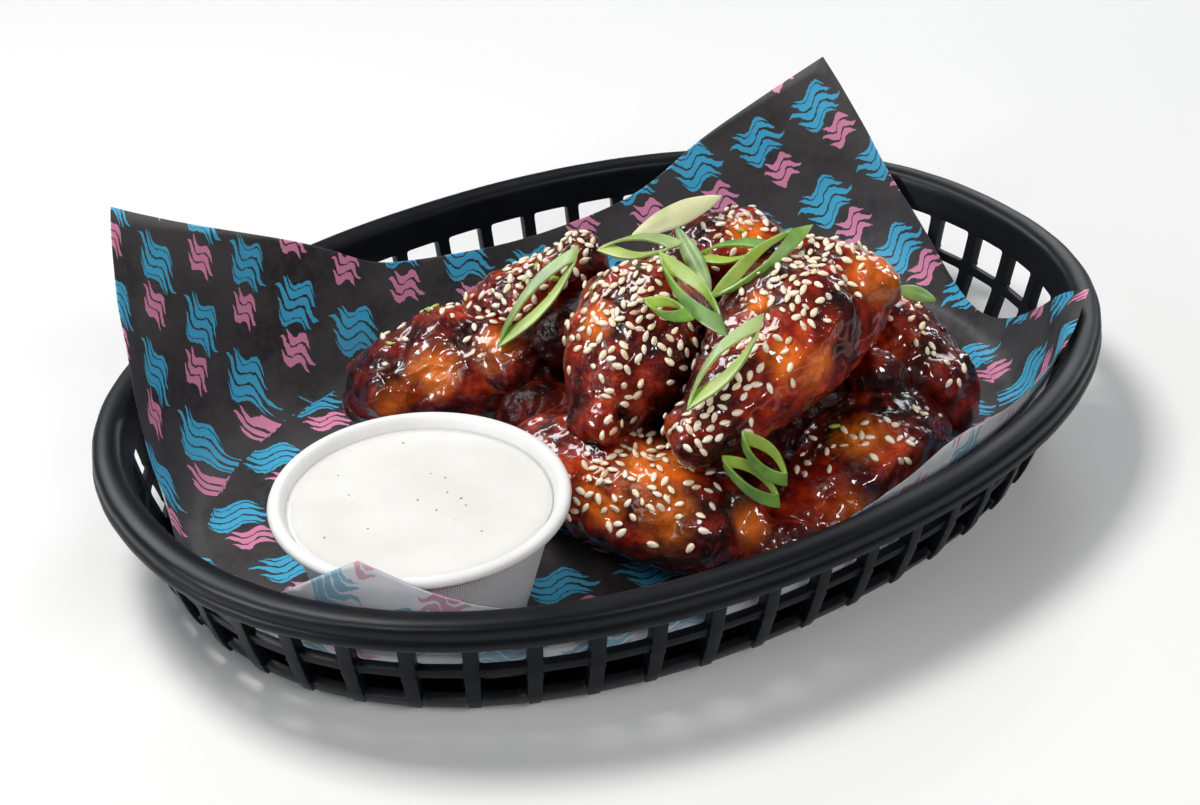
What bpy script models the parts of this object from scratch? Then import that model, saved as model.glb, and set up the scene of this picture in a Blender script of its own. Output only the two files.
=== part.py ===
"""Glazed chicken wings on a paper liner in an oval plastic basket, with a cup of dip.

Lengths are in metres, +Z is up, and the origin is the middle of the basket's underside.
"""
import math

import bmesh
import bpy
from mathutils import Vector

MM = 0.001
GAP = 0.3 * MM
WING_GAP = 0.5 * MM

# Basket: a superellipse in plan, with a lattice wall and a slotted floor set inside it
BASKET_HALF_LENGTH = 133.0 * MM
BASKET_HALF_WIDTH = 98.5 * MM
BASKET_HEIGHT = 35.0 * MM
OVAL_POWER = 2.19
OVAL_STEPS = 1440
WALL_THICKNESS = 2.0 * MM
RIB_COUNT = 50
RIB_WIDTH = 3.4 * MM
RIB_PROUD = 0.9 * MM
RIB_PHASE = 0.07
RIB_DRIFT = 0.2

# Underside of the rim, from its skirt to its inner edge: (inset from the rim's outer edge, height)
RIM_ROWS = (
    (1.9 * MM, BASKET_HEIGHT - 5.8 * MM),
    (2.2 * MM, BASKET_HEIGHT - 2.8 * MM),
    (4.0 * MM, BASKET_HEIGHT - 2.0 * MM),
    (5.7 * MM, BASKET_HEIGHT - 3.2 * MM),
)
# Outer face of the wall, from the top of the windows down to the foot and inwards
WALL_ROWS = (
    (7.0 * MM, BASKET_HEIGHT - 9.4 * MM),
    (8.9 * MM, BASKET_HEIGHT - 18.0 * MM),
    (9.5 * MM, BASKET_HEIGHT - 20.6 * MM),
    (12.3 * MM, BASKET_HEIGHT - 29.0 * MM),
    (15.0 * MM, 1.2 * MM),
    (18.5 * MM, 0.0),
    (20.5 * MM, 0.0),
)
WINDOW_ROWS = (0, 2)
RIB_ROWS = (0, 1, 2, 3)
# Underside of the floor, from its edge inwards, with slots between the last two rows in every second bay
FLOOR_ROWS = (
    (20.5 * MM + GAP, 0.0),
    (24.0 * MM, 0.0),
    (46.0 * MM, 0.0),
)
SLOT_ROW = 1

# Paper liner: a wall with four corners that stand out of the basket, and a floor set inside it
PAPER_THICKNESS = 0.4 * MM
PAPER_FLOOR_INSET = 24.5 * MM
# Underside of the paper's wall, from its foot upwards: (climb, inset from the rim's outer edge, height)
PAPER_PATH = (
    (0.0, 24.0 * MM, 2.4 * MM),
    (4.6 * MM, 18.4 * MM, 4.6 * MM),
    (14.4 * MM, 13.0 * MM, 14.4 * MM),
    (25.6 * MM, 10.6 * MM, 25.6 * MM),
    (35.0 * MM, 9.0 * MM, 35.0 * MM),
)
PAPER_FULL_CLIMB = 38.0 * MM
# Edge of the paper round the basket: (polar angle in degrees, climb, lean out of upright above the rim)
PAPER_EDGE = (
    (-175.0, 12.0 * MM, 0.0),
    (-167.0, 22.0 * MM, 0.0),
    (-160.0, 33.5 * MM, -8.0),
    (-152.0, 43.5 * MM, -14.0),
    (-141.0, 32.5 * MM, -8.0),
    (-128.0, 28.0 * MM, 0.0),
    (-114.0, 27.0 * MM, 0.0),
    (-100.0, 29.0 * MM, 0.0),
    (-87.0, 31.0 * MM, 0.0),
    (-76.0, 36.0 * MM, 0.0),
    (-72.0, 39.0 * MM, 0.0),
    (-65.0, 38.0 * MM, 0.0),
    (-57.0, 35.5 * MM, 20.0),
    (-50.0, 35.5 * MM, 45.0),
    (-43.0, 36.0 * MM, 58.0),
    (-36.0, 38.0 * MM, 60.0),
    (-28.0, 41.5 * MM, 60.0),
    (-25.5, 35.0 * MM, 0.0),
    (-21.0, 26.0 * MM, 0.0),
    (-13.0, 12.5 * MM, 0.0),
    (-6.0, 8.0 * MM, 0.0),
    (2.0, 13.0 * MM, 0.0),
    (8.0, 23.0 * MM, 6.0),
    (15.0, 35.5 * MM, 12.0),
    (20.0, 49.5 * MM, 12.0),
    (26.0, 66.0 * MM, 12.0),
    (34.0, 53.5 * MM, 12.0),
    (43.0, 41.5 * MM, 12.0),
    (51.0, 28.0 * MM, 0.0),
    (60.0, 23.0 * MM, 0.0),
    (70.0, 20.5 * MM, 0.0),
    (81.0, 20.5 * MM, 0.0),
    (92.0, 23.0 * MM, 0.0),
    (103.0, 26.5 * MM, 0.0),
    (109.0, 34.5 * MM, 12.0),
    (118.0, 44.0 * MM, 12.0),
    (128.0, 54.0 * MM, 12.0),
    (137.0, 65.0 * MM, 12.0),
    (145.0, 76.5 * MM, 12.0),
    (150.5, 57.5 * MM, 12.0),
    (156.0, 41.5 * MM, 8.0),
    (158.5, 26.0 * MM, 0.0),
    (161.0, 12.0 * MM, 0.0),
    (172.0, 10.0 * MM, 0.0),
)

# Cup of dip, standing on the paper
CUP_X = -75.8 * MM
CUP_Y = -30.6 * MM
CUP_BASE = PAPER_PATH[0][2] + PAPER_THICKNESS + GAP
CUP_TOP = 38.0 * MM
CUP_STEPS = 28
# Section of the moulded-fibre cup, down its outside and up its inside: (radius, height)
CUP_SECTION = (
    (31.9 * MM, CUP_TOP),
    (33.4 * MM, CUP_TOP - 0.4 * MM),
    (33.8 * MM, CUP_TOP - 1.4 * MM),
    (33.2 * MM, CUP_TOP - 2.4 * MM),
    (30.4 * MM, CUP_TOP - 2.6 * MM),
    (21.8 * MM, CUP_BASE + 0.8 * MM),
    (20.6 * MM, CUP_BASE),
    (0.0, CUP_BASE),
    (0.0, CUP_BASE + 1.3 * MM),
    (20.4 * MM, CUP_BASE + 1.4 * MM),
    (28.6 * MM, CUP_TOP - 3.6 * MM),
    (30.0 * MM, CUP_TOP - 0.7 * MM),
)
DIP_DEPTH = 3.4 * MM

# Wings: stations along the middle of each, in millimetres:
# (x, y, z, half of its width, half of its thickness)
WING_SIDES = 10
WING_LUMPS = ((2, 0.05), (3, 0.06), (5, 0.03))
WING_LUMP_PITCH = 0.05
WINGS = {
    "wing_front": (
        (-28, 3, 15, 5, 5), (-27, -3, 16, 12, 10), (-25, -15, 18, 17, 13),
        (-22, -31, 18, 19, 14), (-17, -47, 18, 19, 14), (-11, -59, 16, 14, 11),
        (-6, -65, 13, 7, 7), (-3, -69, 12, 8, 7), (-1, -72, 12, 5, 5),
    ),
    "wing_right": (
        (3, -67, 11, 5, 5), (8, -64, 12, 9, 8), (14, -62, 14, 10, 9), (22, -60, 16, 14, 12),
        (34, -57, 18, 16, 14), (46, -54, 18, 15, 13), (54, -51, 17, 10, 10), (58, -49, 16, 5, 5),
    ),
    "wing_left": (
        (-53, 45, 13, 5, 5), (-49, 44, 15, 11, 10), (-41, 41, 19, 15, 13),
        (-30, 34, 23, 17, 15), (-19, 26, 25, 16, 14), (-11, 19, 25, 11, 11), (-7, 15, 25, 5, 5),
    ),
    "wing_far_right": (
        (60, -26, 37, 6, 6), (61, -30, 33, 11, 10), (62, -37, 27, 13, 11),
        (65, -46, 21, 13, 11), (67, -52, 15, 9, 8), (68, -55, 12, 5, 5),
    ),
    "wing_behind_left": (
        (-24, 33, 25, 7, 7), (-18, 32, 29, 11, 10), (-10, 29, 36, 12, 11),
        (-3, 25, 42, 9, 8), (2, 22, 46, 7, 7), (6, 20, 49, 8, 8), (8, 19, 50, 5, 5),
    ),
    "wing_back": (
        (22, 16, 33, 6, 6), (29, 14, 37, 12, 11), (39, 12, 41, 15, 13),
        (50, 9, 40, 13, 12), (58, 6, 36, 9, 9), (62, 4, 34, 5, 5),
    ),
    "wing_middle": (
        (-26, -29, 28, 5, 5), (-24, -26, 30, 9, 8), (-20, -24, 34, 10, 9), (-15, -21, 39, 15, 13),
        (-8, -17, 44, 19, 16), (0, -12, 48, 18, 16), (8, -7, 49, 12, 11), (12, -4, 49, 6, 6),
    ),
    "wing_top": (
        (-17, -55, 38, 6, 6), (-14, -53, 39, 10, 9), (-9, -51, 41, 9, 9), (0, -49, 44, 12, 11),
        (12, -45, 48, 16, 14), (26, -40, 51, 18, 16), (38, -35, 52, 17, 15),
        (48, -31, 50, 12, 11), (54, -28, 48, 7, 7),
    ),
}

# Spring onion slices: cut rings and leaves, in millimetres:
# (one tip, the other tip, width, bow of the middle away from the chord, width of each strand)
SLICE_THICKNESS = 1.0
SLICE_STEPS = 5
SLICE_FACING = Vector((-0.35, -0.5, 0.8))
SLICES = {
    "onion_left": ((-0.2, 14.0, 56.0), (-27.3, 14.0, 37.0), 7.0, 2.0, 2.2),
    "onion_pale": ((42.0, 11.0, 59.5), (13.4, 12.5, 55.0), 6.4, 1.5, 3.2),
    "onion_far": ((-1.9, 4.6, 60.3), (10.4, -13.4, 64.7), 7.0, 1.0, 2.0),
    "onion_upright": ((19.0, 0.5, 62.0), (9.0, -26.5, 57.5), 3.4, 1.5, 1.7),
    "onion_loop": ((0.8, -15.5, 66.0), (1.0, -44.4, 57.7), 8.5, 2.5, 2.2),
    "onion_fork": ((-11.5, -26.5, 62.5), (-3.4, -36.6, 60.6), 3.4, 1.5, 1.7),
    "onion_long": ((35.3, -31.4, 71.0), (5.6, -31.0, 58.5), 7.0, 3.0, 2.2),
    "onion_flat": ((15.3, -10.0, 58.8), (27.3, -27.0, 65.2), 8.0, 1.0, 2.0),
    "onion_low": ((5.0, -52.5, 65.0), (-20.0, -54.0, 50.0), 8.0, 3.0, 2.2),
    "onion_front_upper": ((-10.4, -62.0, 43.8), (-3.2, -72.3, 33.1), 8.0, 1.5, 2.4),
    "onion_front_lower": ((-14.7, -60.5, 38.2), (-5.4, -72.8, 28.5), 7.0, 1.5, 2.4),
    "onion_right": ((56.5, -40.0, 49.5), (64.0, -46.5, 46.0), 3.6, 1.0, 1.8),
}


def oval_radius(angle):
    """Distance from the middle to the rim's outer edge at a polar angle."""
    across = abs(math.cos(angle) / BASKET_HALF_LENGTH) ** OVAL_POWER
    along = abs(math.sin(angle) / BASKET_HALF_WIDTH) ** OVAL_POWER
    return (across + along) ** (-1.0 / OVAL_POWER)


def outward_at(angle):
    """Horizontal direction square to the rim's outer edge at a polar angle."""
    step = 1e-3
    behind = oval_radius(angle - step) * Vector((math.cos(angle - step), math.sin(angle - step), 0.0))
    ahead = oval_radius(angle + step) * Vector((math.cos(angle + step), math.sin(angle + step), 0.0))
    tangent = (ahead - behind).normalized()
    return Vector((tangent.y, -tangent.x, 0.0))


def oval_point(angle, inset, height):
    """A point inside the rim's outer edge by inset, measured square to that edge."""
    radius = oval_radius(angle)
    point = radius * Vector((math.cos(angle), math.sin(angle), 0.0)) - inset * outward_at(angle)
    point.z = height
    return point


def wall_reach():
    """Polar angles round the top of the wall, with the distance walked to each."""
    inset, height = WALL_ROWS[0]
    angles = [math.tau * i / OVAL_STEPS for i in range(OVAL_STEPS + 1)]
    reach = [0.0]
    for start, end in zip(angles, angles[1:]):
        step = oval_point(end, inset, height) - oval_point(start, inset, height)
        reach.append(reach[-1] + step.length)
    return angles, reach


def angle_at(station, angles, reach):
    """Polar angle at a station, a fraction of the way round the wall."""
    laps, part = divmod(station, 1.0)
    goal = part * reach[-1]
    i = next(k for k in range(OVAL_STEPS) if reach[k + 1] >= goal)
    share = (goal - reach[i]) / (reach[i + 1] - reach[i])
    return angles[i] + share * (angles[i + 1] - angles[i]) + laps * math.tau


def make_material(name, colour, roughness, metallic=0.0):
    material = bpy.data.materials.new(name)
    material.use_nodes = True
    shader = material.node_tree.nodes["Principled BSDF"]
    shader.inputs["Base Color"].default_value = (*colour, 1.0)
    shader.inputs["Roughness"].default_value = roughness
    shader.inputs["Metallic"].default_value = metallic
    return material


def new_object(name, bm, material, collection):
    """Make an object of a bmesh, and free the bmesh."""
    mesh = bpy.data.meshes.new(name)
    bm.to_mesh(mesh)
    bm.free()
    mesh.materials.append(material)
    thing = bpy.data.objects.new(name, mesh)
    collection.objects.link(thing)
    return thing


def thicken(bm, thickness):
    """Make a shell of an open surface, on the side that its faces look to."""
    bm.normal_update()
    bmesh.ops.solidify(bm, geom=bm.faces[:], thickness=-thickness)


def add_ring(bm, points):
    return [bm.verts.new(point) for point in points]


def join_rings(bm, lower, upper):
    """Quads between two rings that have the same number of points."""
    faces = []
    for i in range(len(lower)):
        j = (i + 1) % len(lower)
        faces.append(bm.faces.new((lower[i], lower[j], upper[j], upper[i])))
    return faces


# Basket


def rib_angles():
    """Polar angles of the middle of each rib, and of both its edges."""
    angles, reach = wall_reach()
    half = 0.5 * RIB_WIDTH / reach[-1]
    centres = []
    edges = []
    for rib in range(RIB_COUNT):
        drift = RIB_DRIFT * math.sin(math.tau * rib / RIB_COUNT)
        station = (rib + RIB_PHASE + drift) / RIB_COUNT
        centres.append(angle_at(station, angles, reach))
        edges.append(angle_at(station - half, angles, reach))
        edges.append(angle_at(station + half, angles, reach))
    return centres, edges


def build_basket(centres, edges, material, collection):
    bm = bmesh.new()
    rim = [add_ring(bm, [oval_point(a, inset, z) for a in centres]) for inset, z in RIM_ROWS]
    for lower, upper in zip(rim, rim[1:]):
        join_rings(bm, lower, upper)
    wall = [add_ring(bm, [oval_point(a, inset, z) for a in edges]) for inset, z in WALL_ROWS]
    join_rim_to_ribs(bm, rim[-1], wall[0])
    rib_faces = []
    for row, (upper, lower) in enumerate(zip(wall, wall[1:])):
        faces = join_rings(bm, upper, lower)
        if row in RIB_ROWS:
            rib_faces += faces[0::2]
        if row in WINDOW_ROWS:
            bmesh.ops.delete(bm, geom=faces[1::2], context="FACES_ONLY")
    thicken(bm, WALL_THICKNESS)
    stand_out(bm, rib_faces, RIB_PROUD)
    bmesh.ops.recalc_face_normals(bm, faces=bm.faces[:])
    return new_object("basket", bm, material, collection)


def build_basket_floor(centres, material, collection):
    bm = bmesh.new()
    rows = [add_ring(bm, [oval_point(a, inset, z) for a in centres]) for inset, z in FLOOR_ROWS]
    for row, (outer, inner) in enumerate(zip(rows, rows[1:])):
        faces = join_rings(bm, outer, inner)
        if row == SLOT_ROW:
            bmesh.ops.delete(bm, geom=faces[1::2], context="FACES_ONLY")
    bm.faces.new(rows[-1])
    thicken(bm, WALL_THICKNESS)
    bmesh.ops.recalc_face_normals(bm, faces=bm.faces[:])
    return new_object("basket_floor", bm, material, collection)


def join_rim_to_ribs(bm, inner, top):
    """Close the band between the rim, with a point a rib, and the wall, with two."""
    for rib in range(RIB_COUNT):
        after = (rib + 1) % RIB_COUNT
        left, right, beyond = top[2 * rib], top[2 * rib + 1], top[2 * after]
        bm.faces.new((inner[rib], right, left))
        bm.faces.new((inner[rib], inner[after], beyond, right))


def stand_out(bm, faces, distance):
    """Extrude a region of faces outwards, level with the floor."""
    grown = bmesh.ops.extrude_face_region(bm, geom=faces)["geom"]
    for vert in grown:
        if isinstance(vert, bmesh.types.BMVert):
            angle = math.atan2(vert.co.y, vert.co.x)
            vert.co += distance * outward_at(angle)
    bmesh.ops.delete(bm, geom=faces, context="FACES")


def close_end(bm, ring, tip):
    """Triangles from a ring to one point beyond it."""
    point = bm.verts.new(tip)
    for i in range(len(ring)):
        bm.faces.new((ring[i], ring[(i + 1) % len(ring)], point))


# Paper liner


def paper_point(angle, climb, lean):
    """A point on the paper's underside, climbed up the wall from the edge of the floor."""
    top_climb, top_inset, top_height = PAPER_PATH[-1]
    if climb > top_climb:
        beyond = climb - top_climb
        return oval_point(angle, top_inset - beyond * math.sin(lean), top_height + beyond * math.cos(lean))
    for (low, inset_low, z_low), (high, inset_high, z_high) in zip(PAPER_PATH, PAPER_PATH[1:]):
        if climb <= high:
            share = (climb - low) / (high - low)
            inset = inset_low + share * (inset_high - inset_low)
            return oval_point(angle, inset, z_low + share * (z_high - z_low))
    raise ValueError("climb is off the paper's path")


def build_liner(material, collection):
    bm = bmesh.new()
    rings = [add_ring(bm, [paper_point(math.radians(a), climb, math.radians(lean))
                           for a, climb, lean in PAPER_EDGE])]
    for level, _, _ in reversed(PAPER_PATH):
        points = []
        for angle, climb, lean in PAPER_EDGE:
            share = min(1.0, climb / PAPER_FULL_CLIMB)
            points.append(paper_point(math.radians(angle), level * share, math.radians(lean)))
        rings.append(add_ring(bm, points))
    for outer, inner in zip(rings, rings[1:]):
        join_rings(bm, outer, inner)
    thicken(bm, PAPER_THICKNESS)
    bmesh.ops.recalc_face_normals(bm, faces=bm.faces[:])
    return new_object("paper_liner", bm, material, collection)


def build_paper_floor(material, collection):
    height = PAPER_PATH[0][2]
    bm = bmesh.new()
    bm.faces.new(add_ring(bm, [oval_point(math.radians(a), PAPER_FLOOR_INSET, height)
                               for a, _, _ in PAPER_EDGE]))
    thicken(bm, PAPER_THICKNESS)
    bmesh.ops.recalc_face_normals(bm, faces=bm.faces[:])
    return new_object("paper_floor", bm, material, collection)


# Cup and dip


def turned(name, section, material, collection):
    """Turn a section, which runs down its outside, about the cup's own axis."""
    bm = bmesh.new()
    points = [bm.verts.new((radius, 0.0, height)) for radius, height in section]
    for start, end in zip(points, points[1:] + points[:1]):
        if start.co.x > 0.0 or end.co.x > 0.0:
            bm.edges.new((start, end))
    thing = new_object(name, bm, material, collection)
    thing.location = (CUP_X, CUP_Y, 0.0)
    screw = thing.modifiers.new("turn", "SCREW")
    screw.steps = CUP_STEPS
    screw.render_steps = CUP_STEPS
    screw.use_merge_vertices = True
    screw.merge_threshold = 0.01 * MM
    return thing


def build_cup(material, dip_material, collection):
    turned("dip_cup", CUP_SECTION, material, collection)
    (low_radius, low), (high_radius, high) = CUP_SECTION[-3:-1]
    level = CUP_TOP - DIP_DEPTH
    top_radius = low_radius + (level - low) / (high - low) * (high_radius - low_radius) - GAP
    dip = (
        (0.0, level),
        (top_radius, level),
        (low_radius - GAP, low + GAP),
        (0.0, low + GAP),
    )
    turned("ranch_dip", dip, dip_material, collection)


# Wings


def lump(place, angle):
    """Share by which a wing's section swells at an angle, so that no two sections are alike."""
    return sum(size * math.cos(waves * angle + waves * place) for waves, size in WING_LUMPS)


def wing_rings(stations, grow):
    """Rings of points round a wing, square to its length."""
    middle = [Vector(station[:3]) for station in stations]
    rings = []
    for i, (_, _, _, wide, thick) in enumerate(stations):
        along = (middle[min(i + 1, len(middle) - 1)] - middle[max(i - 1, 0)]).normalized()
        side = along.cross(Vector((0.0, 0.0, 1.0))).normalized()
        up = side.cross(along)
        ring = []
        for k in range(WING_SIDES):
            angle = math.tau * k / WING_SIDES
            swell = 1.0 + lump(WING_LUMP_PITCH * middle[i].length, angle)
            offset = (wide * math.cos(angle) * side + thick * math.sin(angle) * up) * swell
            offset += grow * offset.normalized()
            ring.append((middle[i] + offset) * MM)
        rings.append(ring)
    return rings


def build_wing(name, stations, material, collection, grow=0.0):
    bm = bmesh.new()
    rings = [add_ring(bm, ring) for ring in wing_rings(stations, grow)]
    for lower, upper in zip(rings, rings[1:]):
        join_rings(bm, lower, upper)
    for ring, (end, inner) in ((rings[0], (0, 1)), (rings[-1], (-1, -2))):
        last = Vector(stations[end][:3])
        outward = (last - Vector(stations[inner][:3])).normalized()
        close_end(bm, ring, (last + outward * (0.4 * stations[end][3] + grow)) * MM)
    bmesh.ops.recalc_face_normals(bm, faces=bm.faces[:])
    return new_object(name, bm, material, collection)


# Spring onion


def slice_rim(tip_a, tip_b, width, bow, lean):
    """Points along one side of a slice, from tip to tip, between two pointed ends."""
    start, end = Vector(tip_a), Vector(tip_b)
    along = (end - start).normalized()
    side = SLICE_FACING.cross(along).normalized()
    facing = along.cross(side)
    points = []
    for i in range(SLICE_STEPS + 1):
        share = i / SLICE_STEPS
        swell = math.sin(math.pi * share)
        middle = start.lerp(end, share) + bow * swell * facing
        points.append((middle + 0.5 * width * swell * lean * side) * MM)
    return points


def build_slice(name, tip_a, tip_b, width, bow, strand, material, collection):
    """A lens between two tips, or a ring where the strands leave a hole between them."""
    bm = bmesh.new()
    outer = slice_rim(tip_a, tip_b, width, bow, 1.0)
    outer += slice_rim(tip_a, tip_b, width, bow, -1.0)[-2:0:-1]
    if 2.0 * strand >= width:
        bm.faces.new(add_ring(bm, outer))
    else:
        start, end = Vector(tip_a), Vector(tip_b)
        inset = 1.6 * strand / (end - start).length
        hole_a, hole_b = start.lerp(end, inset), end.lerp(start, inset)
        inner = slice_rim(hole_a, hole_b, width - 2.0 * strand, bow, 1.0)
        inner += slice_rim(hole_a, hole_b, width - 2.0 * strand, bow, -1.0)[-2:0:-1]
        join_rings(bm, add_ring(bm, outer), add_ring(bm, inner))
    thicken(bm, SLICE_THICKNESS * MM)
    bmesh.ops.recalc_face_normals(bm, faces=bm.faces[:])
    return new_object(name, bm, material, collection)


def cut_by(thing, cutter):
    """Take away what lies inside the cutter."""
    cut = thing.modifiers.new("rests on " + cutter.name, "BOOLEAN")
    cut.operation = "DIFFERENCE"
    cut.solver = "EXACT"
    cut.object = cutter


def boxes_meet(first, second):
    """Whether the boxes round two untransformed objects meet."""
    for axis in range(3):
        first_low = min(corner[axis] for corner in first.bound_box)
        first_high = max(corner[axis] for corner in first.bound_box)
        second_low = min(corner[axis] for corner in second.bound_box)
        second_high = max(corner[axis] for corner in second.bound_box)
        if first_low > second_high or second_low > first_high:
            return False
    return True


def build_wings(material, parts, cutters):
    """Each wing is hollowed where it rests on those laid before it."""
    laid = []
    for name, stations in WINGS.items():
        wing = build_wing(name, stations, material, parts)
        for below in laid:
            if boxes_meet(wing, below):
                cut_by(wing, below)
        room = build_wing(name + "_room", stations, material, cutters, grow=WING_GAP / MM)
        room.hide_render = True
        room.display_type = "WIRE"
        laid.append(room)


def main():
    for thing in list(bpy.data.objects):
        bpy.data.objects.remove(thing, do_unlink=True)
    parts = bpy.data.collections.new("chicken_wings_basket")
    cutters = bpy.data.collections.new("cutters")
    bpy.context.scene.collection.children.link(parts)
    bpy.context.scene.collection.children.link(cutters)
    plastic = make_material("black_plastic", (0.012, 0.014, 0.019), 0.38)
    paper = make_material("printed_paper", (0.03, 0.028, 0.028), 0.6)
    fibre = make_material("white_fibre", (0.82, 0.81, 0.79), 0.75)
    ranch = make_material("ranch_dip", (0.86, 0.84, 0.78), 0.3)
    glaze = make_material("glazed_skin", (0.16, 0.02, 0.006), 0.2)
    onion = make_material("spring_onion", (0.2, 0.42, 0.06), 0.35)
    centres, edges = rib_angles()
    build_basket(centres, edges, plastic, parts)
    build_basket_floor(centres, plastic, parts)
    build_liner(paper, parts)
    build_paper_floor(paper, parts)
    build_cup(fibre, ranch, parts)
    build_wings(glaze, parts, cutters)
    for name, (tip_a, tip_b, width, bow, strand) in SLICES.items():
        build_slice(name, tip_a, tip_b, width, bow, strand, onion, parts)


main()
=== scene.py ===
"""Glazed chicken wings in a lattice basket: moulded plastic, printed paper, fibre cup, dip, wings, seeds and greens.

Lengths are in metres, +Z is up, and the origin is the middle of the basket's underside.
"""
import math
import random
from functools import partial

import bmesh
import bpy
import numpy as np
from mathutils import Matrix, Vector, noise
from mathutils.bvhtree import BVHTree


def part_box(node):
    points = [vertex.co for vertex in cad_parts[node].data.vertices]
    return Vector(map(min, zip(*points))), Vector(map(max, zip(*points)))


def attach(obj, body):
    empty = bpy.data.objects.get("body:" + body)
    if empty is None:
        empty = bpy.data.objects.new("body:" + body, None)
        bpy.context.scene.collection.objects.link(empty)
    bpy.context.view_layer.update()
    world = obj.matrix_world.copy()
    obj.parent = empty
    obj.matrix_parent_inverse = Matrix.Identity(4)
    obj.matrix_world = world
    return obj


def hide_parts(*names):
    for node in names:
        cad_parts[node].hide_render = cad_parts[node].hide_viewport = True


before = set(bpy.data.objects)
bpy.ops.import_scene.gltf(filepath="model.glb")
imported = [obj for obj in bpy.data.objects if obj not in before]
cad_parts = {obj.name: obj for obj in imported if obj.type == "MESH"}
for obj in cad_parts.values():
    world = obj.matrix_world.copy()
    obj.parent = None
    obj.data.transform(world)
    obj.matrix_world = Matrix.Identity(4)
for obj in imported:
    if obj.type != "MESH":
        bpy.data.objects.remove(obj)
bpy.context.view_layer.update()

MM = 0.001
UP = Vector((0.0, 0.0, 1.0))
# Noise vectors are the same in every run
noise.seed_set(5)

# Camera: where it stands round the basket, and what it aims at
CAMERA_TURN = math.radians(-34.43)
CAMERA_RISE = math.radians(32.09)
CAMERA_ROLL = math.radians(-1.375)
CAMERA_DISTANCE = 534.1 * MM
CAMERA_ASIDE = -5.0 * MM
CAMERA_ABOVE = 14.54 * MM
CAMERA_LENS = 61.63
CAMERA_SENSOR = 36.0
CAMERA_NEAR = 10.0 * MM

# Basket: a superellipse in plan, with a lattice of ribs and rings for its wall
OVAL_POWER = 2.19
OVAL_STEPS = 1440
RIB_COUNT = 50
RIB_WIDTH = 3.4 * MM
RIB_PROUD = 0.9 * MM
RIB_PHASE = 0.07
RIB_DRIFT = 0.2
BAY_COLUMNS = 4
WINDOW_CORNER = 1.5 * MM
BASKET_WALL = 2.0 * MM
BASKET_EDGE = 0.35 * MM
SPIN_RADIUS = 150.0 * MM
RIM_HEIGHT = 35.0 * MM
# How far inside the rim's edge the ribs' widths are measured, and the turn past which an edge is rounded
WALL_INSET = 7.0 * MM
SHARP_TURN = math.radians(42.0)
WELD = 0.01 * MM
# Visible side of the basket, from the rim's outer lip over the crown: (inset from the outer edge, height)
RIM_SECTION = tuple((inset * MM, RIM_HEIGHT + rise * MM) for inset, rise in (
    (0.4, -6.3), (0.0, -5.6), (0.0, -4.3), (0.8, -3.7), (0.5, -3.0), (0.3, -1.7), (0.9, -0.6), (2.2, 0.1), (4.0, 0.3),
    (5.8, 0.1), (7.1, -0.6), (7.7, -1.8), (8.0, -4.0),
))
# Inside of the wall at the top and the foot of both rows of windows, then the floor
UPPER_WINDOWS = ((8.95 * MM, RIM_HEIGHT - 9.1 * MM), (10.9 * MM, RIM_HEIGHT - 17.8 * MM))
LOWER_WINDOWS = ((11.45 * MM, RIM_HEIGHT - 20.1 * MM), (14.2 * MM, RIM_HEIGHT - 28.3 * MM))
FLOOR_SECTION = ((15.6 * MM, 3.9 * MM), (17.0 * MM, 2.5 * MM), (19.5 * MM, 2.0 * MM))
FLOOR_SLOTS = ((24.0 * MM, 2.0 * MM), (46.0 * MM, 2.0 * MM))

# Cup: how many dimples go round its mesh, their pitch up its wall, and how far below the top they start
CUP_MESH_ROUND = 340.0
CUP_MESH_PITCH = 0.62 * MM
CUP_MESH_START = (2.4 * MM, 3.2 * MM)

# Paper
PAPER_SHEET = 0.16 * MM
PAPER_RIM_FACE = 0.6 * MM
PAPER_FOOT_HEIGHT = 4.5 * MM
PAPER_CORNER_TURN = math.radians(40.0)
PAPER_FLOOR_INSET = 24.0 * MM
PAPER_FLOOR_HEIGHT = 2.8 * MM
PAPER_FOOT_TOP = 3.3 * MM
PAPER_RINGS = 4
PAPER_RING_WIDTH = 14.0 * MM
# Folds deepen up the wall, from the foot of the free part over a climb
PAPER_FREE_FOOT = 12.0 * MM
PAPER_FREE_CLIMB = 25.0 * MM
PAPER_FOLD_DEPTH = 0.8 * MM
# Side of the square that the paper's own UV map covers
PAPER_SIZE = 400.0 * MM
PRINT_PITCH = 24.0 * MM
PRINT_TURN = math.radians(22.0)
PRINT_WOBBLE = 0.06


# Small tools


def welded_copy(node):
    """A copy of a solid's mesh with its loose triangles joined."""
    bm = bmesh.new()
    bm.from_mesh(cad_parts[node].data)
    bmesh.ops.remove_doubles(bm, verts=bm.verts, dist=WELD)
    return bm


def made_mesh(name, bm):
    """The mesh of a bmesh, which is used up."""
    mesh = bpy.data.meshes.new(name)
    bm.to_mesh(mesh)
    bm.free()
    return mesh


def add_object(name, data):
    added = bpy.data.objects.new(name, data)
    bpy.context.scene.collection.objects.link(added)
    return added


def add_modifiers(target, *modifiers):
    """Add modifiers to an object: each is a kind and its settings."""
    for kind, settings in modifiers:
        modifier = target.modifiers.new(kind, kind)
        for key, value in settings.items():
            setattr(modifier, key, value)


def new_piece(name, bm, material, replaced=()):
    """Make a smooth piece of a bmesh, that rides on the basket and stands for the solids it replaces."""
    mesh = made_mesh(name, bm)
    mesh.materials.append(material)
    mesh.shade_smooth()
    piece = add_object(name, mesh)
    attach(piece, "root")
    if replaced:
        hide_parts(*replaced)
    return piece


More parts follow.
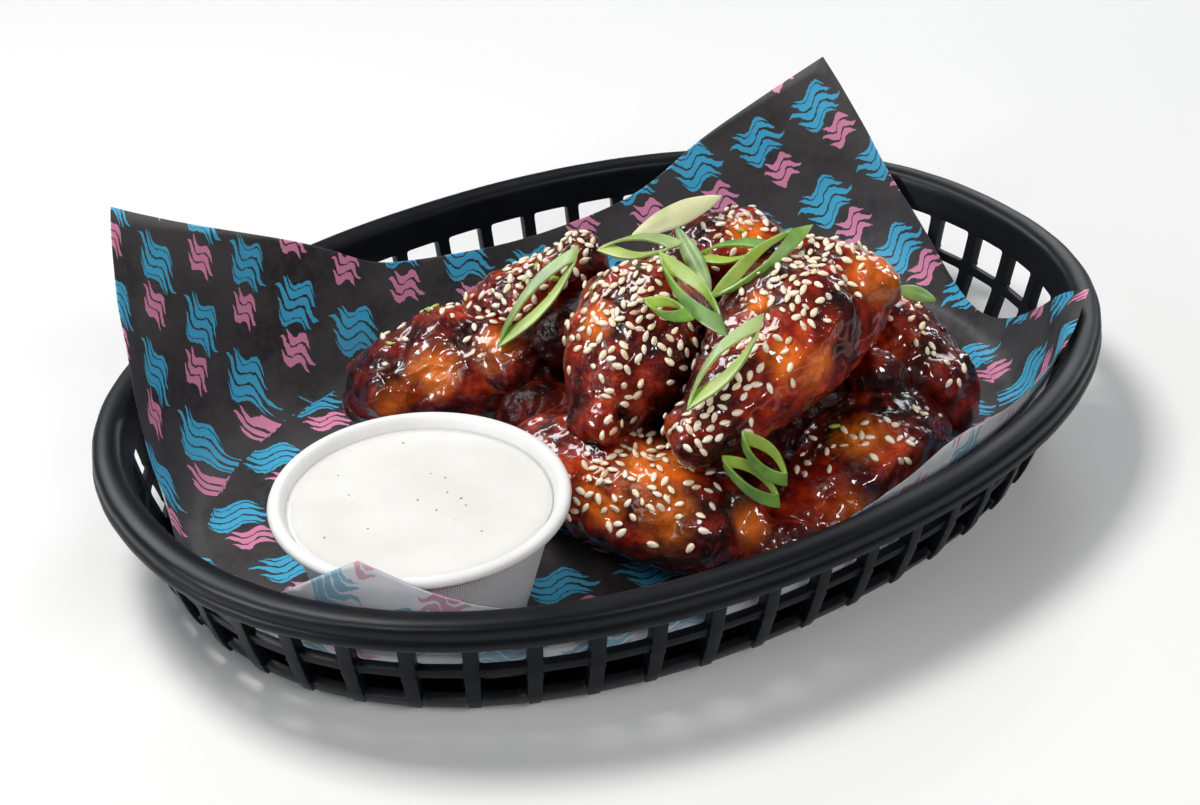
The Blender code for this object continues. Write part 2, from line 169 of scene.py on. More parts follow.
def shaped(bm, *modifiers, groups=()):
    """A bmesh after some modifiers, with vertex groups of the given names."""
    mesh = made_mesh("blank", bm)
    blank = add_object("blank", mesh)
    for group in groups:
        blank.vertex_groups.new(name=group)
    add_modifiers(blank, *modifiers)
    graph = bpy.context.evaluated_depsgraph_get()
    done = bmesh.new()
    done.from_mesh(blank.evaluated_get(graph).to_mesh())
    bpy.data.objects.remove(blank)
    bpy.data.meshes.remove(mesh)
    return done


def subdivision(levels):
    return "SUBSURF", {"levels": levels, "render_levels": levels}


def relax(bm, rounds, factor=0.5):
    for _ in range(rounds):
        bmesh.ops.smooth_vert(bm, verts=bm.verts, factor=factor, use_axis_x=True, use_axis_y=True, use_axis_z=True)


# Shader tools


def add_node(tree, kind, inputs=None, **settings):
    """Add a shader node and give its outputs. An input is a value, or the output that feeds it."""
    made = tree.nodes.new("ShaderNode" + kind)
    for key, value in settings.items():
        setattr(made, key, value)
    for key, value in (inputs or {}).items():
        socket = made.inputs[key]
        if isinstance(value, bpy.types.NodeSocket):
            tree.links.new(value, socket)
        else:
            socket.default_value = (*value, 1.0) if socket.type == "RGBA" else value
    return made.outputs


def maths(tree, operation, first, second=0.0, third=0.0, clamp=False):
    values = {0: first, 1: second, 2: third}
    return add_node(tree, "Math", values, operation=operation, use_clamp=clamp)[0]


def times(tree, first, second):
    return maths(tree, "MULTIPLY", first, second)


def vectors(tree, operation, inputs):
    return add_node(tree, "VectorMath", inputs, operation=operation)[0]


def clouds(tree, place, scale, detail, distortion=0.0):
    inputs = {"Vector": place, "Scale": scale, "Detail": detail, "Distortion": distortion}
    return add_node(tree, "TexNoise", inputs)


def relief(tree, height, distance, strength, **under):
    """The normal of a relief, which may lie over another normal."""
    inputs = {"Height": height, "Distance": distance, "Strength": strength, **under}
    return add_node(tree, "Bump", inputs)["Normal"]


def ramp(tree, factor, stops):
    """A colour ramp: each stop is a place and a colour."""
    made = add_node(tree, "ValToRGB", {0: factor})[0].node
    for _ in range(len(stops) - 2):
        made.color_ramp.elements.new(0.5)
    for element, (place, colour) in zip(made.color_ramp.elements, stops):
        element.position = place
        element.color = (*colour, 1.0)
    return made.outputs["Color"]


def blended(tree, factor, first, second):
    """Mix two colours."""
    return add_node(tree, "Mix", {0: factor, 6: first, 7: second}, data_type="RGBA")[2]


def new_group(name, inputs, outputs):
    """An empty shader group and its sockets. An input with no value is a vector."""
    group = bpy.data.node_groups.new(name, "ShaderNodeTree")
    for socket, value in inputs.items():
        kind = "NodeSocketVector" if value is None else "NodeSocketFloat"
        made = group.interface.new_socket(name=socket, in_out="INPUT", socket_type=kind)
        if value is not None:
            made.default_value = value
    for socket, kind in outputs.items():
        group.interface.new_socket(name=socket, in_out="OUTPUT", socket_type=kind)
    return group, group.nodes.new("NodeGroupInput").outputs, group.nodes.new("NodeGroupOutput").inputs


def mottle_group():
    """Cloudy mask: noise of a given scale, stretched between two levels."""
    group, given, result = new_group(
        "mottle", {"Place": None, "Scale": 100.0, "Low": 0.4, "High": 0.6}, {"Mask": "NodeSocketFloat"})
    cloud = clouds(group, given["Place"], given["Scale"], 4.0)
    spread = add_node(group, "MapRange",
                      {"Value": cloud["Fac"], "From Min": given["Low"], "From Max": given["High"]},
                      interpolation_type="SMOOTHSTEP")
    group.links.new(spread["Result"], result["Mask"])
    return group


def grain_group():
    """Relief of fine grain, as a normal."""
    group, given, result = new_group(
        "grain", {"Place": None, "Scale": 1000.0, "Depth": 0.1 * MM, "Strength": 0.5},
        {"Normal": "NodeSocketVector"})
    cloud = clouds(group, given["Place"], given["Scale"], 3.0)
    group.links.new(relief(group, cloud["Fac"], given["Depth"], given["Strength"]), result["Normal"])
    return group


MOTTLE = mottle_group()
GRAIN = grain_group()


def shader_socket(tree, key):
    """A socket of the material's shader, by its name in small letters."""
    name = key.replace("_", " ").title().replace("Ior", "IOR")
    return tree.nodes["Principled BSDF"].inputs[name]


def new_material(name, roughness, **constants):
    """A material with constants set on its shader, its tree and the object's own coordinates."""
    material = bpy.data.materials.new(name)
    material.use_nodes = True
    tree = material.node_tree
    for key, value in {"roughness": roughness, **constants}.items():
        shader_socket(tree, key).default_value = value
    return material, tree, add_node(tree, "TexCoord")["Object"]


def mottle(tree, place, scale, low, high):
    inputs = {"Place": place, "Scale": scale, "Low": low, "High": high}
    return add_node(tree, "Group", inputs, node_tree=MOTTLE)["Mask"]


def grain(tree, place, scale, depth, strength):
    inputs = {"Place": place, "Scale": scale, "Depth": depth, "Strength": strength}
    return add_node(tree, "Group", inputs, node_tree=GRAIN)["Normal"]


def feed(tree, **sources):
    """Link outputs to the shader's sockets."""
    for key, source in sources.items():
        tree.links.new(source, shader_socket(tree, key))


def made_attribute(tree, name):
    """A value that the mesh carries on its points."""
    return add_node(tree, "Attribute", attribute_name=name)["Fac"]


# Materials


def plastic_material():
    material, tree, place = new_material("moulded black plastic", 0.4, specular_ior_level=0.18)
    cloud = mottle(tree, place, 60.0, 0.35, 0.65)
    feed(tree,
         base_color=blended(tree, cloud, (0.0016, 0.0022, 0.0038), (0.0030, 0.0040, 0.0064)),
         roughness=maths(tree, "MULTIPLY_ADD", mottle(tree, place, 25.0, 0.3, 0.7), 0.10, 0.36),
         normal=grain(tree, place, 1600.0, 0.03 * MM, 0.35))
    return material


def wave_strokes(tree, across, along, centre, pitch, count, length, swing, waves, width):
    """Mask of a few wavy brush strokes, one above the other, round a centre."""
    do = partial(maths, tree)
    u = do("SUBTRACT", across, centre[0])
    v = do("SUBTRACT", along, centre[1])
    wave = do("MULTIPLY", do("SINE", do("MULTIPLY", u, waves)), swing)
    lifted = do("SUBTRACT", v, wave)
    last = 0.5 * (count - 1)
    row = do("MINIMUM", do("MAXIMUM", do("ROUND", do("DIVIDE", lifted, pitch)), -last), last)
    off = do("ABSOLUTE", do("SUBTRACT", lifted, do("MULTIPLY", row, pitch)))
    reach = do("MULTIPLY_ADD", do("ABSOLUTE", row), -0.25 * length, length)
    worn = do("POWER", do("DIVIDE", do("ABSOLUTE", u), reach), 3.0)
    half = do("MULTIPLY", do("SUBTRACT", 1.0, worn, clamp=True), width)
    return do("LESS_THAN", off, half)


def print_group():
    """Blue and pink masks of a staggered pattern of brushed waves, laid out on the flat sheet."""
    tree, given, result = new_group(
        "brushed waves", {"Sheet": None}, {"Blue": "NodeSocketFloat", "Pink": "NodeSocketFloat"})
    do = partial(maths, tree)
    turned = add_node(tree, "Mapping", {"Vector": given["Sheet"], "Rotation": (0.0, 0.0, PRINT_TURN)})
    ragged = clouds(tree, given["Sheet"], 220.0, 2.0)
    wobble = vectors(tree, "SUBTRACT", {0: ragged["Color"], 1: (0.5, 0.5, 0.5)})
    wobble = vectors(tree, "SCALE", {0: wobble, "Scale": PRINT_WOBBLE})
    cells = vectors(tree, "SCALE", {0: turned["Vector"], "Scale": PAPER_SIZE / PRINT_PITCH})
    parts = add_node(tree, "SeparateXYZ", {0: vectors(tree, "ADD", {0: cells, 1: wobble})})
    stagger = do("MULTIPLY", do("PINGPONG", do("FLOOR", parts["Y"]), 1.0), 0.5)
    across = do("SUBTRACT", do("FRACT", do("ADD", parts["X"], stagger)), 0.5)
    along = do("SUBTRACT", do("FRACT", parts["Y"]), 0.5)
    blue = wave_strokes(tree, across, along, (-0.05, 0.15), 0.115, 4, 0.44, 0.06, 13.0, 0.046)
    pink = wave_strokes(tree, across, along, (0.12, -0.27), 0.105, 3, 0.29, 0.045, 19.0, 0.043)
    tree.links.new(blue, result["Blue"])
    tree.links.new(pink, result["Pink"])
    return tree


PRINT = print_group()


def paper_material(name, ink, blue, pink):
    material, tree, place = new_material(name, 0.5, alpha=0.96, specular_ior_level=0.25)
    sheet = add_node(tree, "UVMap", uv_map="sheet")["UV"]
    motifs = add_node(tree, "Group", {"Sheet": sheet}, node_tree=PRINT)
    ground = blended(tree, mottle(tree, place, 45.0, 0.3, 0.7), *ink)
    fibres = mottle(tree, place, 420.0, 0.42, 0.60)
    ground = blended(tree, times(tree, fibres, 0.35), ground, ink[1])
    colour = blended(tree, motifs["Pink"], blended(tree, motifs["Blue"], ground, blue), pink)
    feed(tree, base_color=colour, normal=grain(tree, place, 700.0, 0.06 * MM, 0.4))
    return material


def fibre_material():
    """Moulded fibre with the fine dimples of its mesh below the rim, as bumps and as painted shade in their hollows.
    """
    material, tree, place = new_material("white moulded fibre", 0.62)
    cloud = mottle(tree, place, 90.0, 0.3, 0.7)
    low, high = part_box("dip_cup")
    centre = 0.5 * (low + high)
    about = add_node(tree, "Mapping", {"Vector": place, "Location": (-centre.x, -centre.y, 0.0)})
    parts = add_node(tree, "SeparateXYZ", {0: about["Vector"]})
    angle = maths(tree, "ARCTAN2", parts["Y"], parts["X"])
    mesh_round = maths(tree, "SINE", times(tree, angle, CUP_MESH_ROUND))
    mesh_up = maths(tree, "SINE", times(tree, parts["Z"], math.tau / CUP_MESH_PITCH))
    start, full = (high.z - depth for depth in CUP_MESH_START)
    below_rim = add_node(tree, "MapRange",
                         {"Value": parts["Z"], "From Min": start, "From Max": full})["Result"]
    dimples = times(tree, maths(tree, "ADD", mesh_round, mesh_up), below_rim)
    bump = relief(tree, dimples, 0.08 * MM, 0.7, Normal=grain(tree, place, 1500.0, 0.05 * MM, 0.4))
    # Painted shade: the dimples' hollows below the rim are drawn in darker grey
    shade = times(tree, maths(tree, "MULTIPLY_ADD", dimples, -0.25, 0.5), below_rim)
    colour = blended(tree, cloud, (0.80, 0.80, 0.79), (0.86, 0.86, 0.85))
    colour = blended(tree, times(tree, shade, 0.65), colour, (0.52, 0.52, 0.53))
    feed(tree, base_color=colour, normal=bump)
    return material


def dip_material():
    material, tree, place = new_material(
        "creamy dip", 0.28, coat_weight=0.25, subsurface_weight=0.25, subsurface_radius=(1.0, 0.9, 0.7),
        subsurface_scale=2.0 * MM)
    cloud = mottle(tree, place, 55.0, 0.35, 0.65)
    feed(tree,
         base_color=blended(tree, cloud, (0.80, 0.79, 0.755), (0.85, 0.84, 0.81)),
         normal=grain(tree, place, 260.0, 0.08 * MM, 0.5))
    return material


def glaze_material(name, coat, painted_shade):
    """Sticky glaze: near black where it pooled or charred and as painted shade in creases and hollows, red-brown over
    most, amber where it is thin; a share of painted shade can darken all of it.
    """
    material, tree, place = new_material(
        name, 0.34, coat_weight=coat, coat_roughness=0.07, coat_ior=1.42, specular_ior_level=0.12,
        subsurface_weight=0.12, subsurface_radius=(1.0, 0.22, 0.06), subsurface_scale=2.5 * MM)
    broad = mottle(tree, place, 55.0, 0.30, 0.72)
    close = mottle(tree, place, 210.0, 0.34, 0.70)
    tone = maths(tree, "MULTIPLY_ADD", close, 0.4, times(tree, broad, 0.6))
    skin = ramp(tree, tone, (
        (0.08, (0.016, 0.0014, 0.0006)),
        (0.38, (0.100, 0.0042, 0.0012)),
        (0.66, (0.300, 0.0160, 0.0026)),
        (1.00, (0.580, 0.0700, 0.0070)),
    ))
    amber = times(tree, made_attribute(tree, "amber"), mottle(tree, place, 130.0, 0.22, 0.62))
    skin = blended(tree, times(tree, amber, 0.85), skin, (0.92, 0.205, 0.010))
    # Char, and painted shade where the spots lie in creases and hollows
    char_and_shade = times(tree, made_attribute(tree, "char_and_shade"), mottle(tree, place, 170.0, 0.28, 0.55))
    skin = blended(tree, char_and_shade, skin, (0.008, 0.002, 0.001))
    # Painted shade: a share that darkens the whole glaze towards near black
    skin = blended(tree, painted_shade, skin, (0.004, 0.001, 0.001))
    ripples = clouds(tree, place, 430.0, 3.0, 0.6)
    pits = clouds(tree, place, 1300.0, 2.0)
    patchy = mottle(tree, place, 75.0, 0.42, 0.60)
    fine = relief(tree, pits["Fac"], 0.14 * MM, maths(tree, "MULTIPLY_ADD", patchy, 0.9, 0.1))
    bump = relief(tree, ripples["Fac"], 0.6 * MM, 0.8, Normal=fine)
    feed(tree,
         base_color=skin,
         roughness=maths(tree, "MULTIPLY_ADD", close, 0.14, 0.28),
         normal=bump)
    return material


def seed_material():
    material, tree, place = new_material("toasted sesame", 0.32, coat_weight=0.4, coat_roughness=0.15)
    colour = ramp(tree, made_attribute(tree, "tone"), (
        (0.0, (0.66, 0.40, 0.20)),
        (0.05, (0.93, 0.74, 0.49)),
        (0.5, (0.98, 0.84, 0.61)),
        (1.0, (0.99, 0.92, 0.74)),
    ))
    cloud = mottle(tree, place, 900.0, 0.4, 0.7)
    feed(tree,
         base_color=blended(tree, times(tree, cloud, 0.15), colour, (0.70, 0.46, 0.20)),
         normal=grain(tree, place, 2500.0, 0.03 * MM, 0.4))
    return material


def onion_material():
    material, tree, place = new_material(
        "spring onion leaf", 0.42, coat_weight=0.12, coat_roughness=0.25, subsurface_weight=0.2,
        subsurface_radius=(0.6, 1.0, 0.2), subsurface_scale=1.2 * MM)
    cloud = mottle(tree, place, 130.0, 0.35, 0.65)
    outer = blended(tree, cloud, (0.050, 0.175, 0.010), (0.160, 0.370, 0.024))
    inner = blended(tree, cloud, (0.280, 0.450, 0.020), (0.460, 0.610, 0.050))
    leaf = blended(tree, times(tree, made_attribute(tree, "inside"), 0.8), outer, inner)
    leaf = blended(tree, made_attribute(tree, "pale"), leaf, (0.72, 0.70, 0.42))
    streaks = clouds(tree, place, 600.0, 2.0)
    leaf = blended(tree, times(tree, streaks["Fac"], 0.2), leaf, (0.30, 0.52, 0.10))
    feed(tree, base_color=leaf, normal=grain(tree, place, 900.0, 0.1 * MM, 0.4))
    return material


def speck_material():
    material, tree, place = new_material("ground herb", 0.6)
    cloud = mottle(tree, place, 900.0, 0.4, 0.6)
    feed(tree, base_color=blended(tree, cloud, (0.13, 0.11, 0.07), (0.24, 0.24, 0.14)))
    return material


def floor_material():
    material, tree, place = new_material("pale table", 0.7)
    cloud = mottle(tree, place, 3.0, 0.3, 0.7)
    feed(tree, base_color=blended(tree, cloud, (0.86, 0.86, 0.86), (0.88, 0.88, 0.88)))
    return material


# Basket


def oval_radius(angle):
    """Distance from the middle to the rim's outer edge at a polar angle."""
    _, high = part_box("basket")
    across = abs(math.cos(angle) / high.x) ** OVAL_POWER
    along = abs(math.sin(angle) / high.y) ** OVAL_POWER
    return (across + along) ** (-1.0 / OVAL_POWER)


def rim_table():
    """Points and outward directions all round the rim's outer edge, as arrays over the polar angle."""
    angles = np.linspace(0.0, math.tau, OVAL_STEPS + 1)
    radii = np.array([oval_radius(angle) for angle in angles])
    edge = np.stack((radii * np.cos(angles), radii * np.sin(angles)), axis=1)
    along = np.gradient(edge, axis=0)
    along[0] = along[-1] = edge[1] - edge[-2]
    along /= np.linalg.norm(along, axis=1)[:, None]
    return angles, edge, np.stack((along[:, 1], -along[:, 0]), axis=1)


RIM_ANGLES, RIM_EDGE, RIM_OUTWARD = rim_table()


def read_table(table, angle):
    """A row of a rim table at a polar angle."""
    wrapped = angle % math.tau
    return Vector([np.interp(wrapped, RIM_ANGLES, table[:, axis]) for axis in (0, 1)] + [0.0])


def oval_point(angle, inset, height):
    """A point inside the rim's outer edge by inset, measured square to that edge."""
    return read_table(RIM_EDGE, angle) - inset * read_table(RIM_OUTWARD, angle) + height * UP


def polar(point):
    return math.atan2(point.y, point.x)


def spun_place(point, columns):
    """The column of a point of the spun cage, and its inset from the edge."""
    return (polar(point) % math.tau) / math.tau * columns, SPIN_RADIUS - math.hypot(point.x, point.y)


def column_angles():
    """Polar angles of the columns: both edges of each rib, and two lines near the edges of each window."""
    wall = RIM_EDGE - WALL_INSET * RIM_OUTWARD
    reach = np.concatenate(([0.0], np.cumsum(np.linalg.norm(np.diff(wall, axis=0), axis=1))))
    half, corner = 0.5 * RIB_WIDTH / reach[-1], WINDOW_CORNER / reach[-1]
    centres = [(rib + RIB_PHASE + RIB_DRIFT * math.sin(math.tau * rib / RIB_COUNT)) / RIB_COUNT
               for rib in range(RIB_COUNT + 1)]
    angles = []
    for centre, following in zip(centres, centres[1:]):
        for station in (centre - half, centre + half, centre + half + corner, following - half - corner):
            angles.append(float(np.interp(station % 1.0, reach / reach[-1], RIM_ANGLES)))
    return angles


def window_rows(top, foot):
    """The rows of a band of windows, with a line near its top and near its foot for round corners."""
    (inset_top, z_top), (inset_foot, z_foot) = top, foot
    share = WINDOW_CORNER / math.hypot(inset_foot - inset_top, z_foot - z_top)
    return [(inset_top + step * (inset_foot - inset_top), z_top + step * (z_foot - z_top))
            for step in (0.0, share, 1.0 - share, 1.0)]


def in_window(face, columns):
    """Whether a face of the spun cage lies in a window or a floor slot."""
    middle = face.calc_center_median()
    turned, inset = spun_place(middle, columns)
    column = int(turned)
    in_wall = any(foot[1] < middle.z < top[1] for top, foot in (UPPER_WINDOWS, LOWER_WINDOWS))
    in_floor = FLOOR_SLOTS[0][0] < inset < FLOOR_SLOTS[1][0] and column // BAY_COLUMNS % 2 == 1
    return column % BAY_COLUMNS > 0 and (in_wall or in_floor)


def spin_basket():
    """The basket's visible skin, spun round, cut into windows and laid round the oval."""
    rows = list(RIM_SECTION) + window_rows(*UPPER_WINDOWS) + window_rows(*LOWER_WINDOWS)
    rows += list(FLOOR_SECTION) + window_rows(*FLOOR_SLOTS)
    bm = bmesh.new()
    line = [bm.verts.new((SPIN_RADIUS - inset, 0.0, height)) for inset, height in rows]
    for start, end in zip(line, line[1:]):
        bm.edges.new((start, end))
    columns = RIB_COUNT * BAY_COLUMNS
    bmesh.ops.spin(bm, geom=bm.verts[:] + bm.edges[:], cent=(0.0, 0.0, 0.0), axis=UP, angle=math.tau,
                   steps=columns, use_merge=True)
    bmesh.ops.remove_doubles(bm, verts=bm.verts, dist=WELD)
    gone = [face for face in bm.faces if in_window(face, columns)]
    bmesh.ops.delete(bm, geom=gone, context="FACES")
    inner = [edge for edge in bm.edges if edge.is_boundary
             and all(math.hypot(v.co.x, v.co.y) < SPIN_RADIUS - FLOOR_SLOTS[1][0] + 0.1 * MM for v in edge.verts)]
    bmesh.ops.contextual_create(bm, geom=inner)
    weights = bm.verts.layers.deform.new()
    angles = column_angles()
    for vert in bm.verts:
        turned, inset = spun_place(vert.co, columns)
        column = round(turned) % columns
        on_wall = FLOOR_SECTION[0][1] - WELD < vert.co.z < UPPER_WINDOWS[0][1] + WELD
        on_rib = column % BAY_COLUMNS < 2 and on_wall
        vert[weights][0] = 1.0 if on_rib else 0.0
        vert.co = oval_point(angles[column], inset, vert.co.z)
    bmesh.ops.recalc_face_normals(bm, faces=bm.faces)
    if sum(face.normal.z * face.calc_area() for face in bm.faces) < 0.0:
        bmesh.ops.reverse_faces(bm, faces=bm.faces)
    return bm


def build_basket(material):
    """The basket, with its wall made thick and its ribs standing proud on the outside."""
    wall = {"thickness": BASKET_WALL, "offset": -1.0, "shell_vertex_group": "back", "use_even_offset": True}
    bm = shaped(spin_basket(), subdivision(1), ("SOLIDIFY", wall), groups=("rib", "back"))
    weights = bm.verts.layers.deform.active
    ribs = [face for face in bm.faces
            if all(vert[weights].get(0, 0.0) > 0.99 and vert[weights].get(1, 0.0) > 0.5 for vert in face.verts)]
    grown = bmesh.ops.extrude_face_region(bm, geom=ribs)["geom"]
    for vert in grown:
        if isinstance(vert, bmesh.types.BMVert):
            vert.co += RIB_PROUD * read_table(RIM_OUTWARD, polar(vert.co))
    bmesh.ops.delete(bm, geom=ribs, context="FACES")
    piece = new_piece("moulded_basket", bm, material, ("basket", "basket_floor"))
    rounding = {"width": BASKET_EDGE, "segments": 2, "limit_method": "ANGLE", "angle_limit": SHARP_TURN}
    add_modifiers(piece, ("BEVEL", rounding))


# Paper


def joined_faces(start):
    """Every face that can be reached from a face over shared edges."""
    found, waiting = {start}, [start]
    while waiting:
        for edge in waiting.pop().edges:
            fresh = [face for face in edge.link_faces if face not in found]
            found.update(fresh)
            waiting += fresh
    return found


def paper_skin():
    """The upper side of the paper's wall as an open sheet of quads, with a floor of rings inside it."""
    bm = welded_copy("paper_liner")
    rim = [face for face in bm.faces if min(edge.calc_length() for edge in face.edges) < PAPER_RIM_FACE]
    bmesh.ops.delete(bm, geom=rim, context="FACES")
    foot = [face for face in bm.faces if face.calc_center_median().z < PAPER_FOOT_HEIGHT]
    upper = joined_faces(max(foot, key=lambda face: face.normal.z))
    bmesh.ops.delete(bm, geom=[face for face in bm.faces if face not in upper], context="FACES")
    bmesh.ops.join_triangles(bm, faces=bm.faces, angle_face_threshold=math.radians(80.0),
                             angle_shape_threshold=math.pi)
    inner = [edge for edge in bm.edges
             if edge.is_boundary and max(vert.co.z for vert in edge.verts) < PAPER_FOOT_TOP]
    base = bmesh.ops.contextual_create(bm, geom=inner)["faces"]
    bmesh.ops.recalc_face_normals(bm, faces=bm.faces)
    if base[0].normal.z < 0.0:
        bmesh.ops.reverse_faces(bm, faces=bm.faces)
    for _ in range(PAPER_RINGS):
        bmesh.ops.inset_region(bm, faces=base, thickness=PAPER_RING_WIDTH)
    crease = bm.verts.layers.float.new("crease_vert")
    for vert in bm.verts:
        if vert.is_boundary and boundary_turn(vert) > PAPER_CORNER_TURN:
            vert[crease] = 1.0
    return bm


def boundary_turn(vert):
    """How far the sheet's edge turns at one of its points."""
    ways = [(edge.other_vert(vert).co - vert.co).normalized() for edge in vert.link_edges if edge.is_boundary]
    return math.pi - ways[0].angle(ways[1])


def flat_place(point):
    """Where a point of the laid paper lies on the flat sheet."""
    angle = polar(point)
    fold = oval_point(angle, PAPER_FLOOR_INSET, PAPER_FLOOR_HEIGHT)
    if point.z < PAPER_FOOT_TOP:
        return Vector((point.x, point.y))
    climb = (point - fold).length
    return (math.hypot(fold.x, fold.y) + climb) * Vector((math.cos(angle), math.sin(angle)))


def paper_fold(point):
    """Height of the paper's folds at a point: long waves with softly creased ones over them."""
    free = min(1.0, max(0.0, (point.z - PAPER_FREE_FOOT) / PAPER_FREE_CLIMB))
    waves = noise.noise(point * 38.0) * 1.6
    creases = (0.5 - abs(noise.noise(point * 70.0 + UP))) * 0.7
    return (0.25 + 0.75 * free) * (waves + creases) * PAPER_FOLD_DEPTH


def build_paper(ink_side, plain_side):
    """One sheet of paper, laid in the basket, with its print on the upper side."""
    bm = shaped(paper_skin(), subdivision(3))
    sheet = bm.loops.layers.uv.new("sheet")
    for face in bm.faces:
        for loop in face.loops:
            flat = flat_place(loop.vert.co)
            loop[sheet].uv = (0.5 + flat.x / PAPER_SIZE, 0.5 + flat.y / PAPER_SIZE)
    bm.normal_update()
    for vert in bm.verts:
        vert.co += vert.normal * paper_fold(vert.co)
    piece = new_piece("paper_sheet", bm, ink_side, ("paper_liner", "paper_floor"))
    piece.data.materials.append(plain_side)
    add_modifiers(piece, ("SOLIDIFY", {"thickness": PAPER_SHEET, "offset": -1.0, "material_offset": 1}))


# Cup and dip

# Section of the cup down its outside and up its inside: (radius, height below the top)
CUP_SECTION = (
    (31.1, 0.35), (31.5, 0.1), (32.2, 0.0), (33.0, 0.2), (33.5, 0.6), (33.8, 1.3), (33.7, 2.0), (33.2, 2.45),
    (32.2, 2.55), (31.0, 2.6), (30.4, 3.0), (29.8, 5.5), (25.8, 20.0), (22.0, 33.8), (21.5, 34.7), (20.6, 35.0),
    (0.01, 35.0), (0.01, 33.8), (20.0, 33.7), (20.8, 33.0), (28.4, 6.5), (29.4, 4.0), (30.5, 1.4),
)
CUP_TURNS = 128
# The dip, out to where its surface meets the cup, in millimetres, and the outer share that clings to it
DIP_RADIUS = 29.8
DIP_DEPTH = 28.0
DIP_RINGS = 26
DIP_TURNS = 96
DIP_CLING_START = 0.93
DIP_CLING_WIDTH = 0.07


def turn_section(section, centre, top, steps):
    """Spin a closed section of millimetres about an upright axis."""
    bm = bmesh.new()
    ring = [bm.verts.new((centre.x + radius * MM, centre.y, top - depth * MM)) for radius, depth in section]
    for start, end in zip(ring, ring[1:] + ring[:1]):
        bm.edges.new((start, end))
    bmesh.ops.spin(bm, geom=bm.verts[:] + bm.edges[:], cent=(centre.x, centre.y, 0.0), axis=UP, angle=math.tau,
                   steps=steps, use_merge=True)
    bmesh.ops.remove_doubles(bm, verts=bm.verts, dist=0.02 * MM)
    bmesh.ops.recalc_face_normals(bm, faces=bm.faces)
    return bm


def build_cup(material):
    low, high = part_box("dip_cup")
    bm = turn_section(CUP_SECTION, 0.5 * (low + high), high.z, CUP_TURNS)
    return new_piece("fibre_cup", bm, material, ("dip_cup",))


def build_dip(material):
    """Dip with a low swirl on top and a raised edge where it clings to the cup."""
    low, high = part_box("ranch_dip")
    centre = 0.5 * (low + high)
    section = [(0.01, 0.0)] + [(DIP_RADIUS * ring / DIP_RINGS, 0.0) for ring in range(1, DIP_RINGS + 1)]
    section += [(DIP_RADIUS * 0.965, 1.4), (DIP_RADIUS * 0.72, DIP_DEPTH), (0.01, DIP_DEPTH)]
    bm = turn_section(section, centre, high.z, DIP_TURNS)
    for vert in bm.verts:
        if vert.co.z > high.z - 0.2 * MM:
            out = math.hypot(vert.co.x - centre.x, vert.co.y - centre.y) / (DIP_RADIUS * MM)
            angle = math.atan2(vert.co.y - centre.y, vert.co.x - centre.x)
            swirl = math.sin(2.0 * angle + 9.0 * out) * out * (1.0 - out)
            cling = max(0.0, out - DIP_CLING_START) / DIP_CLING_WIDTH
            soft = noise.noise(vert.co * 90.0)
            vert.co.z += (0.8 * swirl + 0.25 * soft * (1.0 - cling) + 0.5 * cling * cling) * MM
    return new_piece("dip_surface", bm, material, ("ranch_dip",))


# Wings

WING_VOXEL = 0.62 * MM
WING_SMOOTHING = 12
UNDERNEATH_SMOOTHING = 6
WING_NAMES = ("wing_front", "wing_right", "wing_left", "wing_far_right", "wing_behind_left", "wing_back",
              "wing_middle", "wing_top")
# Thin spots of the glaze, where it shows amber: (x, y, z, radius) in millimetres
AMBER_SPOTS = (
    (-40, 24, 30, 9), (-25, 16, 34, 8), (-22, -46, 33, 12), (-34, -42, 25, 8), (42, -47, 60, 9), (6, -57, 55, 6),
    (15, -60, 50, 7), (-19, -17, 56, 7), (-2, -72, 12, 6), (27, -62, 29, 9), (44, 4, 50, 8), (16, -72, 16, 8),
    (12, -40, 60, 5), (-48, 30, 20, 8), (-25, -55, 22, 9), (-10, -64, 20, 7),
)
# Charred spots, some of them set in creases and hollows as painted shade, in the same form
CHAR_AND_SHADE_SPOTS = (
    (29, -54, 60, 6), (24, -58, 54, 6), (43, -57, 30, 11), (-23, -32, 37, 7), (62, -45, 30, 10), (-50, 45, 20, 9),
    (-1, -72, 16, 5), (50, -34, 52, 6), (52, -50, 26, 8), (-26, -29, 30, 6), (-12, -28, 40, 7), (34, -50, 64, 4),
    (34, -56, 58, 4), (36, -60, 48, 5),
)
# Creases and hollows: (start, end, half width, depth), in millimetres
CREASES = (
    ((37, -42, 70), (34, -50, 65), 3.0, 2.4), ((34, -50, 65), (34, -56, 58), 3.2, 3.0),
    ((34, -56, 58), (31, -60, 52), 3.0, 2.2), ((31, -60, 52), (20, -62, 47), 2.6, 1.6),
    ((-23, -33, 38), (-22, -34, 35), 4.2, 3.6), ((-31, 10, 34), (-37, 14, 22), 2.6, 2.0),
    ((-42, 36, 34), (-50, 28, 22), 2.6, 1.8), ((-12, -66, 22), (2, -60, 24), 2.4, 1.6),
    ((28, -66, 22), (40, -58, 26), 2.6, 1.6), ((-16, -16, 56), (-26, -22, 48), 2.4, 1.2),
)
# Knuckles and bone ends, in the same form as the spots
WING_KNOBS = {
    "wing_top": ((42, -46, 57, 7.5), (-17, -54, 41, 6.0)),
    "wing_middle": ((-25, -31, 37, 6.0),),
    "wing_left": ((-47, 33, 22, 8.0), (-22, 14, 30, 8.0)),
    "wing_front": ((-2, -71, 15, 6.0), (-38, -30, 25, 7.0)),
    "wing_right": ((14, -71, 14, 6.5), (46, -46, 30, 8.0)),
    "wing_far_right": ((63, -50, 25, 7.0), (56, -28, 40, 6.0)),
}
